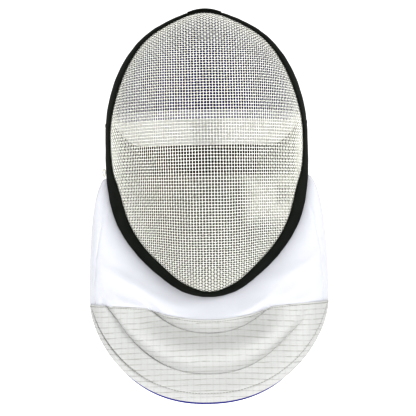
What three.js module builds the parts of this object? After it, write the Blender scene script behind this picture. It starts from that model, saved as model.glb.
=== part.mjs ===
// Fencing mask, worn upright: the face looks along -Y, X runs to the viewer's right, Z is up.
// The shapes are worked out about the middle of the face, on the plane of the rim at the temples,
// and the finished group is moved so that the origin is where the crown of the head bears.
import * as THREE from 'three';

// Face mesh, in millimetres
const faceHalfWidth = 103;
const faceRise = 155.4;
const faceDrop = 135.2;
const faceDepth = 118;
const browSetForward = 12;
const chinSetForward = 24;
const creaseDepth = 10;
const creaseRound = 4;
const meshWall = 2;
const domePower = 1.7;
const shoulderPower = 0.55;

// Clearances between pieces
const gap = 0.3;
const softGap = 0.4;

// Edging round the mesh
const trimWidth = 25;
const trimInnerWidth = 10;
const trimLeaf = 1.2;

// Padding inside the brow, and the binding along its lower edge
const padThickness = 8;
const padLowerEdge = 51.5;
const padHalfTurn = 72;
const padTopInset = 3;
const bindingHeight = 9.5;
const bindingThickness = 3;
const seatInset = 14;

// Straps behind the head
const strapThickness = 1.6;
const strapReach = 92;
const strapRise = 3.4;
const upperStrapTop = 49;
const upperStrapHeight = 29.5;
const lowerStrapHeight = 32;
const strapSpacing = 0.6;
const strapTaper = 23;
const strapTaperFrom = 16;
const strapTaperTo = 46;

// Flap behind the neck, below the straps
const flapThickness = 3;
const flapLength = 130;
const flapHalfTurn = 74;
const flapCornerRise = 56;

// Tongue from the top of the rim down the back of the head
const tongueWidth = 35;
const tongueThickness = 1.6;
const tongueSideThinning = 0.65;
const tongueLap = 5;
const tongueCrown = 16;
const tongueLength = 168;

// Loop beside the rim at the left temple
const loopHeight = 8.4;
const loopWidth = 3.6;
const loopCord = 1;

// Bib
const bibWall = 2;
const liningWall = 0.8;
const panelWall = 0.8;
const bibHalfWidth = 123.3;
const bibSideTurn = 84;
const bibWidestLevel = -141.5;
const bibFrontDrop = 100.7;
const hemFallPower = 1.23;
const hemAcrossPower = 0.896;
const bibFrontReach = 71;
const bibSideSetBack = 15;
const bibBackEdge = 72;
const bibBackHalfWidth = 117;
const bibBackTopHalfWidth = 112;
const bibBackDrop = 114;
const bibTopFlange = 16;
const bibLean = 1.5;
const bibLeanFrom = -100;
const bibRunBulge = 6;
const hemRiseShare = 0.36;
const hemBackShare = 0.04;
const seamSideLevel = -145;
const seamDip = 16;
const seamDipTurn = 30;

const ringStations = 60;
const bibWhiteRows = 5;
const bibPanelRows = 9;
const bibRunColumns = 4;
const meshInnerRows = 8;
const meshRowSpread = 1.15;

// The rim's reach, as a share of the face's ellipse, and how full the shoulder is, at each turn:
// 90 is the brow, 0 the temple and -90 the chin.
const rimTable = [
  { turn: -90, reach: 1.001, fullness: 0.985 },
  { turn: -75, reach: 0.993, fullness: 0.95 },
  { turn: -60, reach: 0.97, fullness: 0.87 },
  { turn: -45, reach: 0.976, fullness: 0.66 },
  { turn: -25, reach: 1.004, fullness: 0.58 },
  { turn: -10, reach: 1.0, fullness: 0.74 },
  { turn: 5, reach: 1.003, fullness: 0.93 },
  { turn: 20, reach: 1.039, fullness: 0.965 },
  { turn: 35, reach: 1.052, fullness: 0.975 },
  { turn: 50, reach: 1.038, fullness: 0.99 },
  { turn: 70, reach: 1.001, fullness: 0.993 },
  { turn: 90, reach: 1.001, fullness: 0.993 },
];

// Width of the edging's outer leaf, as a share of its widest, at each turn
const trimTable = [
  { turn: -90, width: 0.54 },
  { turn: -75, width: 0.68 },
  { turn: -60, width: 0.76 },
  { turn: -45, width: 0.75 },
  { turn: -35, width: 0.83 },
  { turn: -20, width: 1.0 },
  { turn: -11, width: 0.93 },
  { turn: -4, width: 0.68 },
  { turn: 4, width: 0.6 },
  { turn: 14, width: 0.64 },
  { turn: 28, width: 0.83 },
  { turn: 40, width: 0.8 },
  { turn: 55, width: 0.65 },
  { turn: 72, width: 0.5 },
  { turn: 90, width: 0.26 },
];

// Folds across the front of the bib. level is the share of the drop where the valley lies, above and
// below are the shares over which it opens out, and depth is a share of the bib's front reach.
const foldTable = [
  { level: 0.37, above: 0.17, below: 0.2, depth: 0.25, left: -50, right: 48, endLevel: 0.33 },
  { level: 0.745, above: 0.17, below: 0.24, depth: 0.2, left: -74, right: 62, endLevel: 0.66 },
];
const foldFade = 24;
const bellyShare = 0.11;

// Course of the tongue over the crown. behind is its share of the way to the straps, rise a share of the
// tongue's crown height and fall a share of the drop to its tip.
const tongueTable = [
  { behind: 0.28, rise: 0, fall: 0 },
  { behind: 0.68, rise: -1.1, fall: 0 },
  { behind: 0.95, rise: 0, fall: 0.47 },
];

const rad = THREE.MathUtils.degToRad;
const deg = THREE.MathUtils.radToDeg;
const clamp = THREE.MathUtils.clamp;
const smooth = THREE.MathUtils.smoothstep;
const lerp = THREE.MathUtils.lerp;

function along(from, direction, distance) {
  return from.clone().addScaledVector(direction, distance);
}

// Smooth reading of one column of a table whose first column is the turn
function readTable(table, key, turn) {
  const last = table.length - 1;
  const slope = (i) => (i === 0 || i === last
    ? 0
    : (table[i + 1][key] - table[i - 1][key]) / (table[i + 1].turn - table[i - 1].turn));
  let i = 0;
  while (i < last - 1 && turn > table[i + 1].turn) {
    i += 1;
  }
  const a = table[i];
  const b = table[i + 1];
  const span = b.turn - a.turn;
  const u = (turn - a.turn) / span;
  const rise = b[key] - a[key];
  const bend = u * (1 - u) * ((1 - u) * (slope(i) * span - rise) - u * (slope(i + 1) * span - rise));
  return a[key] + u * rise + bend;
}

function dome(share) {
  return 1 - (1 - Math.min(share, 1) ** domePower) ** shoulderPower;
}

// Point of the face at an angle round its middle, 90 being up, and a share of the way to the rim
function facePoint(angle, share) {
  const across = Math.cos(rad(angle));
  const up = Math.sin(rad(angle));
  const turn = deg(Math.atan2(up, Math.abs(across)));
  const reach = readTable(rimTable, 'reach', turn) * share;
  const fullness = readTable(rimTable, 'fullness', turn);
  const x = reach * faceHalfWidth * across;
  const z = reach * (up >= 0 ? faceRise : faceDrop) * up;
  const depth = faceDepth - (up >= 0 ? browSetForward : chinSetForward) * up * up;
  const beside = (Math.hypot(x, creaseRound) - creaseRound) / faceHalfWidth;
  const fallBack = creaseDepth * beside * (1 - share * share);
  return new THREE.Vector3(x, -faceDepth + depth * dome(fullness * share) / dome(fullness) + fallBack, z);
}

// Outward normal of the face, and its direction towards the rim
function faceFrame(angle, share) {
  const step = 0.002;
  const inner = Math.max(share - step, 0.0005);
  const outer = Math.min(share + step, 1);
  const toRim = facePoint(angle, outer).sub(facePoint(angle, inner)).normalize();
  const round = facePoint(angle + 0.5, share).sub(facePoint(angle - 0.5, share)).normalize();
  return { toRim, normal: new THREE.Vector3().crossVectors(toRim, round).normalize() };
}

// Share of the way to the rim at a distance inside it, measured over the mesh
function shareInsideRim(angle, distance) {
  const steps = 160;
  let share = 1;
  let before = facePoint(angle, 1);
  let run = 0;
  for (let i = 1; i <= steps; i += 1) {
    const next = 1 - i / steps;
    const point = facePoint(angle, next);
    const length = point.distanceTo(before);
    if (run + length >= distance) {
      return share - (distance - run) / length / steps;
    }
    run += length;
    before = point;
    share = next;
  }
  return 0;
}

// Shares of the way to the rim at the rim itself and at the edges of the edging's inner and outer leaves
function trimShares(angle) {
  const turn = deg(Math.asin(Math.sin(rad(angle))));
  const width = trimWidth * readTable(trimTable, 'width', turn);
  return [0, Math.min(trimInnerWidth, 0.6 * width), width].map((inset) => shareInsideRim(angle, inset));
}

// Point at a distance inside the rim and an offset out of the mesh's middle
function faceOffset(angle, share, offset) {
  return along(facePoint(angle, share), faceFrame(angle, share).normal, offset);
}

// Angle at which the rim's side stands at a level, on the viewer's right
function rimAngleAt(level) {
  let low = -60;
  let high = 60;
  for (let i = 0; i < 30; i += 1) {
    const mid = (low + high) / 2;
    if (facePoint(mid, 1).z < level) {
      low = mid;
    } else {
      high = mid;
    }
  }
  return (low + high) / 2;
}

// Closed body from lists of points and triangles, turned to face out
function closedBody(points, faces) {
  let volume = 0;
  for (const [a, b, c] of faces) {
    volume += points[a].dot(new THREE.Vector3().crossVectors(points[b], points[c]));
  }
  const index = faces.flatMap(([a, b, c]) => (volume > 0 ? [a, b, c] : [a, c, b]));
  const geometry = new THREE.BufferGeometry();
  const flat = points.flatMap((point) => [point.x, point.y, point.z]);
  geometry.setAttribute('position', new THREE.Float32BufferAttribute(flat, 3));
  geometry.setIndex(index);
  geometry.computeVertexNormals();
  return geometry;
}

// Wall between two grids of points, both [column][row]. A ring's columns close on each other, and
// a crowned grid's first row is a single point on each side. Past the middle of an open wall the quads
// are split the other way, so that its two sides mirror each other.
function wall(front, back, { ring = false, crowned = false } = {}) {
  const columns = front.length;
  const rows = front[0].length;
  const points = [];
  const faces = [];
  const number = [front, back].map((grid) => {
    const pole = crowned ? points.push(grid[0][0]) - 1 : -1;
    return grid.map((column) => column.map((point, j) => (
      crowned && j === 0 ? pole : points.push(point) - 1)));
  });
  const quad = (a, b, c, d, turned = false) => {
    faces.push(...(turned ? [[a, b, d], [b, c, d]] : [[a, b, c], [a, c, d]]));
  };
  const lastColumn = ring ? columns : columns - 1;
  for (let i = 0; i < lastColumn; i += 1) {
    const n = (i + 1) % columns;
    const past = !ring && i >= lastColumn / 2;
    for (let j = 0; j < rows - 1; j += 1) {
      const [f, b] = number;
      if (crowned && j === 0) {
        faces.push([f[i][0], f[i][1], f[n][1]], [b[i][0], b[n][1], b[i][1]]);
      } else {
        quad(f[i][j], f[i][j + 1], f[n][j + 1], f[n][j], past);
        quad(b[i][j], b[n][j], b[n][j + 1], b[i][j + 1], past);
      }
    }
    const [f, b] = number;
    quad(f[i][rows - 1], b[i][rows - 1], b[n][rows - 1], f[n][rows - 1]);
    if (!crowned) {
      quad(f[i][0], f[n][0], b[n][0], b[i][0]);
    }
  }
  if (!ring) {
    const [f, b] = number;
    const end = columns - 1;
    for (let j = 0; j < rows - 1; j += 1) {
      quad(f[0][j], b[0][j], b[0][j + 1], f[0][j + 1]);
      quad(f[end][j], f[end][j + 1], b[end][j + 1], b[end][j]);
    }
  }
  return closedBody(points, faces);
}

// Body swept round a closed ring, one closed outline of points for each station
function hoop(outlines) {
  const sides = outlines[0].length;
  const faces = [];
  outlines.forEach((outline, i) => {
    const n = (i + 1) % outlines.length;
    for (let k = 0; k < sides; k += 1) {
      const m = (k + 1) % sides;
      faces.push([i * sides + k, n * sides + k, n * sides + m]);
      faces.push([i * sides + k, n * sides + m, i * sides + m]);
    }
  });
  return closedBody(outlines.flat(), faces);
}

// Normals of a grid of points, turned to the side that a given direction points to
function gridNormals(grid, outward) {
  const columns = grid.length;
  const rows = grid[0].length;
  return grid.map((column, i) => column.map((point, j) => {
    const beside = grid[Math.min(i + 1, columns - 1)][j].clone().sub(grid[Math.max(i - 1, 0)][j]);
    const below = column[Math.min(j + 1, rows - 1)].clone().sub(column[Math.max(j - 1, 0)]);
    const normal = beside.cross(below).normalize();
    return normal.dot(outward(point)) < 0 ? normal.negate() : normal;
  }));
}

function shifted(grid, normals, offset) {
  return grid.map((column, i) => column.map((point, j) => along(point, normals[i][j], offset)));
}

const stationAngles = Array.from({ length: ringStations }, (_, i) => -90 + (360 * i) / ringStations);

function meshShares(angle) {
  const edge = trimShares(angle);
  const rest = Array.from({ length: meshInnerRows }, (_, i) => (
    edge[2] * (1 - ((i + 1) / meshInnerRows) ** meshRowSpread)));
  return [...edge, ...rest].reverse();
}

function faceMesh() {
  const side = (offset) => stationAngles.map((angle) => meshShares(angle).map((share, j) => (
    j === 0 ? new THREE.Vector3(0, -faceDepth - offset, 0) : faceOffset(angle, share, offset))));
  return wall(side(meshWall / 2), side(-meshWall / 2), { ring: true, crowned: true });
}

const trimInnerOffset = meshWall / 2 + gap;
const trimOuterOffset = trimInnerOffset + trimLeaf;
const trimCap = gap + trimLeaf;

// The edging is a U: an outer leaf, the cap over the mesh's edge, and a shorter leaf inside
function rimTrim() {
  return hoop(stationAngles.map((angle) => {
    const shares = trimShares(angle);
    const { toRim } = faceFrame(angle, 1);
    const at = (row, offset, past = 0) => along(faceOffset(angle, shares[row], offset), toRim, past);
    return [
      at(2, trimOuterOffset), at(1, trimOuterOffset), at(0, trimOuterOffset, trimCap),
      at(0, -trimOuterOffset, trimCap), at(1, -trimOuterOffset),
      at(1, -trimInnerOffset), at(0, -trimInnerOffset, gap),
      at(0, trimInnerOffset, gap), at(1, trimInnerOffset), at(2, trimInnerOffset),
    ];
  }));
}

const padOffset = trimOuterOffset + softGap;
const padAngles = stationAngles.filter((angle) => Math.abs(angle - 90) <= padHalfTurn + 0.01);

// Share of the way to the rim at which the face stands at a level above its middle
function shareAtLevel(angle, level, most = 0.97) {
  return clamp(level / facePoint(angle, 1).z, 0.05, most);
}

// Patch of padding inside the mesh, from one level up to the rim or to another level
function innerPatch(lowShare, topShare, thickness, rows) {
  const side = (offset) => padAngles.map((angle) => {
    const low = lowShare(angle);
    const high = topShare(angle);
    return Array.from({ length: rows + 1 }, (_, j) => (
      faceOffset(angle, lerp(low, high, j / rows), offset)));
  });
  return wall(side(-padOffset), side(-padOffset - thickness));
}

function browPad() {
  const low = (angle) => shareAtLevel(angle, padLowerEdge);
  return innerPatch(low, (angle) => shareInsideRim(angle, padTopInset), padThickness, 8);
}

function browBinding() {
  const top = padLowerEdge - softGap;
  const low = (angle) => shareAtLevel(angle, top - bindingHeight, 0.9);
  return innerPatch(low, (angle) => shareAtLevel(angle, top, 0.955), bindingThickness, 2);
}

// Line that the straps take at a level: from the rim at one temple, round behind the head. planLevel
// is the level at which the rim sets its width.
function strapPoint(turn, level, inset = 0, planLevel = level) {
  const angle = rimAngleAt(planLevel);
  const { toRim } = faceFrame(angle, 1);
  const start = along(facePoint(angle, 1), toRim, trimCap + softGap + strapThickness / 2);
  const across = Math.cos(rad(turn));
  const behind = Math.sin(rad(turn));
  return new THREE.Vector3(
    (start.x - inset) * across,
    start.y + (strapReach - start.y - inset) * behind,
    level + strapRise * behind,
  );
}

// Strap between two edges, each a function of the turn from the viewer's right temple
function strap(topEdge, lowEdge, thickness, shape = {}) {
  const { from = 0, to = 180, segments = 28, rows = 1, inset = 0, planLevel } = shape;
  const turns = Array.from({ length: segments + 1 }, (_, i) => lerp(from, to, i / segments));
  const middle = turns.map((turn) => Array.from({ length: rows + 1 }, (_, j) => (
    strapPoint(turn, lerp(topEdge(turn), lowEdge(turn), j / rows), inset, planLevel))));
  const normals = gridNormals(middle, (point) => new THREE.Vector3(point.x, point.y, 0));
  return wall(shifted(middle, normals, thickness / 2), shifted(middle, normals, -thickness / 2));
}

function endShare(turn) {
  return 1 - smooth(Math.min(turn, 180 - turn), strapTaperFrom, strapTaperTo);
}

const upperStrapLow = upperStrapTop - upperStrapHeight;
const lowerStrapTop = upperStrapLow - strapSpacing;
const lowerStrapLow = lowerStrapTop - lowerStrapHeight;

function upperStrap() {
  return strap(() => upperStrapTop, (turn) => upperStrapLow + strapTaper * endShare(turn), strapThickness);
}

function lowerStrap() {
  return strap((turn) => lowerStrapTop + strapTaper * endShare(turn), () => lowerStrapLow, strapThickness);
}

function neckFlap() {
  const top = lowerStrapLow - strapSpacing;
  const lowEdge = (turn) => {
    const corner = Math.abs(turn - 90) / flapHalfTurn;
    return top - flapLength + flapCornerRise * corner ** 3;
  };
  return strap(() => top, lowEdge, flapThickness, {
    from: 90 - flapHalfTurn,
    to: 90 + flapHalfTurn,
    segments: 28,
    rows: 2,
    inset: (flapThickness - strapThickness) / 2,
    planLevel: lowerStrapLow,
  });
}

// Strip that lies on the edging at the brow, arches over the crown and comes down behind the straps
function backTongue() {
  const lift = trimOuterOffset + softGap + tongueThickness / 2;
  const onRim = [tongueLap, tongueLap / 2, 0].map((inset) => (
    faceOffset(90, shareInsideRim(90, inset), lift)));
  const rimTop = onRim[2];
  const back = strapReach + strapThickness / 2 + softGap + tongueThickness / 2;
  const tip = upperStrapTop + strapRise - upperStrapHeight;
  const curve = new THREE.CatmullRomCurve3([
    ...onRim,
    ...tongueTable.map((stop) => new THREE.Vector3(
      0,
      lerp(rimTop.y, back, stop.behind),
      rimTop.z + tongueCrown * stop.rise - (rimTop.z - tip) * stop.fall,
    )),
    new THREE.Vector3(0, back, upperStrapTop + strapRise + softGap),
    new THREE.Vector3(0, back, tip),
    new THREE.Vector3(0, back, tip - (tongueLength - (rimTop.z - tip))),
  ]);
  const half = tongueWidth / 2;
  const sideAngle = 90 - deg(half / faceHalfWidth);
  const rimFall = facePoint(90, 1).z - facePoint(sideAngle, 1).z;
  const steps = 30;
  const middle = Array.from({ length: 5 }, (_, i) => Array.from({ length: steps + 1 }, (_, j) => {
    const point = curve.getPoint(j / steps);
    const beside = (i - 2) / 2;
    const fade = 1 - smooth(j / steps, 0.3, 0.6);
    return new THREE.Vector3(half * beside, point.y, point.z - rimFall * beside * beside * fade);
  }));
  const normals = gridNormals(middle, (point) => new THREE.Vector3(0, point.y + faceDepth / 4, point.z));
  const outer = middle.map((column, i) => column.map((point, j) => (
    along(point, normals[i][j], tongueThickness * (0.5 - tongueSideThinning * ((i - 2) / 2) ** 2)))));
  return wall(outer, shifted(middle, normals, -tongueThickness / 2));
}

function sideLoop() {
  const shape = new THREE.Shape();
  shape.absellipse(0, 0, loopWidth / 2, loopHeight / 2, 0, 2 * Math.PI);
  const hole = new THREE.Path();
  hole.absellipse(0, 0, loopWidth / 2 - loopCord, loopHeight / 2 - loopCord, 0, 2 * Math.PI, true);
  shape.holes.push(hole);
  const geometry = new THREE.ExtrudeGeometry(shape, { depth: loopCord, bevelEnabled: false, curveSegments: 8 });
  geometry.rotateX(Math.PI / 2);
  return geometry;
}

// Rim angle of a bib column, counted from the chin: the columns stand at the edging's own stations
const sideStations = ringStations / 4 - 1;
const chinToSide = (360 / ringStations) * sideStations;

function bibTop(turn) {
  const angle = -90 + (turn / 90) * chinToSide;
  const { toRim, normal } = faceFrame(angle, 1);
  return { point: along(facePoint(angle, 1), toRim, trimCap + gap + bibWall / 2), outward: normal };
}

function bibHem(turn) {
  const spread = rad((turn / 90) * bibSideTurn);
  const across = Math.sin(spread);
  return new THREE.Vector3(
    bibHalfWidth * Math.sign(across) * Math.abs(across) ** hemAcrossPower,
    bibSideSetBack - bibFrontReach * Math.cos(spread),
    bibWidestLevel - bibFrontDrop * Math.cos(spread) ** hemFallPower,
  );
}

// Curve that a column of the bib hangs in. turn is -90 to 90 from temple to temple past the chin,
// and run is the share of the way from there to the back edge.
function bibCurve(turn, run) {
  const top = bibTop(turn);
  const hem = bibHem(turn);
  const side = Math.sign(turn);
  const topEnd = new THREE.Vector3(side * bibBackTopHalfWidth, bibBackEdge, top.point.z);
  const hemEnd = new THREE.Vector3(side * bibBackHalfWidth, bibBackEdge, top.point.z - bibBackDrop);
  const from = top.point.clone().lerp(topEnd, run);
  const to = hem.clone().lerp(hemEnd, run);
  to.x += side * bibRunBulge * Math.sin(Math.PI * run);
  const drop = from.z - to.z;
  const outward = top.outward.clone().lerp(new THREE.Vector3(side, 0, -1).normalize(), run).normalize();
  const above = new THREE.Vector3(to.x, to.y + drop * hemBackShare, to.z + drop * hemRiseShare);
  return new THREE.CubicBezierCurve3(from, along(from, outward, bibTopFlange), above, to);
}

function foldReach(fold, turn) {
  const left = smooth(turn, fold.left, fold.left + foldFade);
  const right = 1 - smooth(turn, fold.right - foldFade, fold.right);
  return left * right;
}

// How far the bib stands out from its curve, forward being positive
function foldOut(turn, level) {
  const belly = bellyShare * bibFrontReach * Math.sin(Math.PI * level) ** 2 * Math.cos(rad(turn)) ** 2;
  return foldTable.reduce((out, fold) => {
    const end = (turn < 0 ? turn / fold.left : turn / fold.right);
    const valley = lerp(fold.level, fold.endLevel, clamp(end, 0, 1) ** 2);
    const away = level - valley;
    const share = clamp(1 - Math.abs(away) / (away < 0 ? fold.above : fold.below), 0, 1);
    return out - fold.depth * bibFrontReach * foldReach(fold, turn) * Math.sin((Math.PI / 2) * share) ** 2;
  }, belly);
}

// Level of the seam between the white cloth and the conductive panel
function seamLevel(turn) {
  return seamSideLevel - seamDip * Math.exp(-((turn / seamDipTurn) ** 2));
}

// Share of a column's length at which it comes down to the seam
function seamSplit(curve, turn) {
  let low = 0;
  let high = 1;
  for (let i = 0; i < 24; i += 1) {
    const mid = (low + high) / 2;
    if (curve.getPointAt(mid).z > seamLevel(turn)) {
      low = mid;
    } else {
      high = mid;
    }
  }
  return clamp((low + high) / 2, 0.1, 0.9);
}

const bibRunSplit = bibWhiteRows / (bibWhiteRows + bibPanelRows);

function bibColumn(turn, run) {
  const curve = bibCurve(turn, run);
  const split = run > 0 ? lerp(seamSplit(curve, turn), bibRunSplit, smooth(run, 0, 1)) : seamSplit(curve, turn);
  const levels = [
    ...Array.from({ length: bibWhiteRows }, (_, j) => (split * j) / bibWhiteRows),
    ...Array.from({ length: bibPanelRows + 1 }, (_, j) => lerp(split, 1, j / bibPanelRows)),
  ];
  return levels.map((level) => {
    const point = curve.getPointAt(level);
    const spread = rad(turn);
    const forward = new THREE.Vector3(Math.sin(spread), -Math.cos(spread), 0);
    point.addScaledVector(forward, run > 0 ? 0 : foldOut(turn, level));
    const lean = clamp((bibLeanFrom - point.z) / bibFrontDrop, 0, 1.5);
    point.x -= bibLean * lean * lean * level;
    return point;
  });
}

const bibTurns = Array.from({ length: 2 * sideStations + 1 }, (_, i) => (90 * (i - sideStations)) / sideStations);
const bibRuns = Array.from({ length: bibRunColumns }, (_, i) => (i + 1) / bibRunColumns);
const bibGrid = [
  ...bibRuns.toReversed().map((run) => bibColumn(-90, run)),
  ...bibTurns.map((turn) => bibColumn(turn, 0)),
  ...bibRuns.map((run) => bibColumn(90, run)),
];
const bibNormals = gridNormals(bibGrid, (point) => new THREE.Vector3(point.x, point.y - bibBackEdge, 0));

function bibShell() {
  return wall(shifted(bibGrid, bibNormals, bibWall / 2), shifted(bibGrid, bibNormals, -bibWall / 2));
}

function bibLining() {
  const outer = -bibWall / 2 - gap;
  return wall(shifted(bibGrid, bibNormals, outer), shifted(bibGrid, bibNormals, outer - liningWall));
}

function bibPanel() {
  const inner = bibWall / 2 + gap;
  const front = (grid) => grid.slice(bibRunColumns, -bibRunColumns).map((column) => column.slice(bibWhiteRows));
  const face = (offset) => front(shifted(bibGrid, bibNormals, offset));
  return wall(face(inner + panelWall), face(inner));
}

const seat = faceOffset(90, shareInsideRim(90, seatInset), -padOffset - padThickness);

const mask = new THREE.Group();

function addPiece(name, geometry, colour, roughness, metalness = 0) {
  const material = new THREE.MeshStandardMaterial({ color: colour, roughness, metalness });
  const piece = new THREE.Mesh(geometry, material);
  piece.name = name;
  mask.add(piece);
  return piece;
}

addPiece('face_mesh', faceMesh(), 0xf4f4ee, 0.4, 0.3);
addPiece('rim_trim', rimTrim(), 0x262824, 0.7);
addPiece('brow_pad', browPad(), 0x1c1d52, 0.85);
addPiece('brow_binding', browBinding(), 0x5a5878, 0.85);
addPiece('strap_upper', upperStrap(), 0xecece8, 0.8);
addPiece('strap_lower', lowerStrap(), 0x161615, 0.85);
addPiece('neck_flap', neckFlap(), 0x4a4a48, 0.85);
addPiece('back_tongue', backTongue(), 0x222321, 0.6);
addPiece('bib', bibShell(), 0xf1f2f7, 0.85);
addPiece('bib_panel', bibPanel(), 0xd9dbd9, 0.45, 0.35);
addPiece('bib_lining', bibLining(), 0x41419a, 0.85);

const loopLevel = (bibTop(90).point.z + loopHeight / 2) + softGap + bibWall;
const loopAngle = rimAngleAt(loopLevel);
const loopFrame = faceFrame(loopAngle, 1);
const loopFoot = along(facePoint(loopAngle, 1), loopFrame.normal, trimOuterOffset);
const loop = addPiece('side_loop', sideLoop(), 0xe9e6d2, 0.5);
loop.position.set(-(loopFoot.x + loopWidth / 2 + softGap), loopFoot.y, loopLevel);

mask.position.copy(seat).negate();

export default mask;
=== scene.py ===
import math

import bpy
import numpy as np
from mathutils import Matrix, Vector


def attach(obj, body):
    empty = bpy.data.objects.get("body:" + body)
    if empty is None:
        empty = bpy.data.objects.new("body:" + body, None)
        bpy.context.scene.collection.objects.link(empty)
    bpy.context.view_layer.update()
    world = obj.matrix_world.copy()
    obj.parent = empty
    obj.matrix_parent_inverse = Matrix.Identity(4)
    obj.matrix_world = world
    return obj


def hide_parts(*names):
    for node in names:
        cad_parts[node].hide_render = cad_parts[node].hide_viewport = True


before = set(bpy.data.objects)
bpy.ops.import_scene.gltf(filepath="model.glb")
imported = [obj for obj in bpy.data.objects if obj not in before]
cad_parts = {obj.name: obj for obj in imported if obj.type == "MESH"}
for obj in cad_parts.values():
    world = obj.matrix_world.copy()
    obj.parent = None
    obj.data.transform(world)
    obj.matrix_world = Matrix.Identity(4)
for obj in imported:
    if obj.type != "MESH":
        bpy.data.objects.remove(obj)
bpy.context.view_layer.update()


def table(columns, *rows):
    """Rows of a table, each with its columns' names."""
    return [dict(zip(columns.split(), row)) for row in rows]


# Lengths are in millimetres about the middle of the face, on the plane of the rim at the temples.
# add_mesh turns them into the frame's metres.
MM = 0.001

# Face mesh
FACE_HALF_WIDTH = 103.0
FACE_RISE = 155.4
FACE_DROP = 135.2
FACE_DEPTH = 118.0
BROW_SET_FORWARD = 12.0
CHIN_SET_FORWARD = 24.0
CREASE_DEPTH = 10.0
CREASE_ROUND = 1.2
DOME_POWER = 1.7
SHOULDER_POWER = 0.55
MESH_WALL = 2.0

# Woven wire
WIRE = 0.84
PITCH_ACROSS = 3.06
PITCH_UP = 3.16
CRIMP_UPRIGHT = 0.26
CRIMP_CROSS = 0.58
WIRE_SIDES = 6
WEAVE_LEVEL = 25.0

# Clearances and the edging
GAP = 0.3
SOFT_GAP = 0.4
TRIM_WIDTH = 25.0
TRIM_INNER_WIDTH = 10.0
TRIM_LEAF = 1.2
TRIM_INNER = MESH_WALL / 2 + GAP
TRIM_OUTER = TRIM_INNER + TRIM_LEAF
TRIM_CAP = GAP + TRIM_LEAF

# Padding
PAD_THICKNESS = 8.0
PAD_LOWER_EDGE = 51.5
PAD_HALF_TURN = 72.0
PAD_TOP_INSET = 3.0
PAD_OFFSET = TRIM_OUTER + SOFT_GAP
BINDING_HEIGHT = 9.5
BINDING_THICKNESS = 3.0
SEAT_INSET = 14.0

# Straps, flap and tongue
STRAP_THICKNESS = 1.6
STRAP_REACH = 92.0
STRAP_RISE = 3.4
UPPER_STRAP_TOP = 49.0
UPPER_STRAP_HEIGHT = 29.5
LOWER_STRAP_HEIGHT = 32.0
STRAP_SPACING = 0.6
STRAP_TAPER = 23.0
STRAP_TAPER_FROM = 16.0
STRAP_TAPER_TO = 46.0
UPPER_STRAP_LOW = UPPER_STRAP_TOP - UPPER_STRAP_HEIGHT
LOWER_STRAP_TOP = UPPER_STRAP_LOW - STRAP_SPACING
LOWER_STRAP_LOW = LOWER_STRAP_TOP - LOWER_STRAP_HEIGHT
FLAP_THICKNESS = 3.0
FLAP_LENGTH = 130.0
FLAP_HALF_TURN = 74.0
FLAP_CORNER_RISE = 56.0
STRAP_TUCK = 1.8

# Tongue. Its course is in shares of the way back to the straps, the crown's height and the fall to the tip.
TONGUE_WIDTH = 35.0
TONGUE_THICKNESS = 1.6
TONGUE_SIDE_THINNING = 0.65
TONGUE_LAP = 5.0
TONGUE_CROWN = 16.0
TONGUE_LENGTH = 168.0
TONGUE_SEAM_INSET = 3.2
TONGUE_COURSE = table("back rise fall", (0.28, 0, 0), (0.68, -1.1, 0), (0.95, 0, 0.47))
LOOP_HEIGHT = 8.4
LOOP_WIDTH = 3.6
LOOP_CORD = 1.0

# Bib
BIB_WALL = 2.0
LINING_WALL = 0.8
PANEL_WALL = 0.8
BIB_HALF_WIDTH = 123.3
BIB_SIDE_TURN = 84.0
BIB_WIDEST_LEVEL = -141.5
BIB_FRONT_DROP = 100.7
HEM_FALL_POWER = 1.23
HEM_ACROSS_POWER = 0.896
BIB_FRONT_REACH = 71.0
BIB_SIDE_SET_BACK = 15.0
BIB_BACK_EDGE = 72.0
BIB_BACK_HALF_WIDTH = 117.0
BIB_BACK_TOP_HALF_WIDTH = 112.0
BIB_BACK_DROP = 114.0
BIB_TOP_FLANGE = 16.0
BIB_SIDE_BULGE = 6.0
BIB_LEAN = 1.5
BIB_LEAN_FROM = -100.0
CHIN_TO_SIDE = 84.0
SEAM_SIDE_LEVEL = -145.0
SEAM_DIP = 16.0
SEAM_DIP_TURN = 30.0
HEM_INSET = 8.5
LINING_PROUD = 1.5
LINE_FOLLOW = 0.12
CREASE = 0.8
PRESSED = 1.5

RIM_TURN = np.array([-90, -75, -60, -45, -25, -10, 5, 20, 35, 50, 70, 90], float)
RIM_REACH = np.array([1.001, 0.993, 0.97, 0.976, 1.004, 1.0, 1.003, 1.039, 1.052, 1.038, 1.001, 1.001])
RIM_FULLNESS = np.array([0.985, 0.95, 0.87, 0.66, 0.58, 0.74, 0.93, 0.965, 0.975, 0.99, 0.993, 0.993])
TRIM_TURN = np.array([-90, -75, -60, -45, -35, -20, -11, -4, 4, 14, 28, 40, 55, 72, 90], float)
TRIM_SHARE = np.array([0.54, 0.68, 0.76, 0.75, 0.83, 1.0, 0.93, 0.68, 0.6, 0.64, 0.83, 0.8, 0.65, 0.5, 0.26])

# Folds across the bib's front, shallower than in the solids and with sharper valleys. level, above, below and
# end are shares of the drop, depth is a share of the reach, and left and right are turns in degrees.
FOLDS = table("level above below depth left right end",
              (0.37, 0.14, 0.2, 0.17, -50, 48, 0.33),
              (0.745, 0.14, 0.24, 0.14, -74, 62, 0.66))
FOLD_FADE = 24.0
BELLY_SHARE = 0.11


def unit(vectors):
    return vectors / np.maximum(np.linalg.norm(vectors, axis=-1, keepdims=True), 1e-12)


def smooth(value, low, high):
    u = np.clip((value - low) / (high - low), 0, 1)
    return u * u * (3 - 2 * u)


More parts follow.
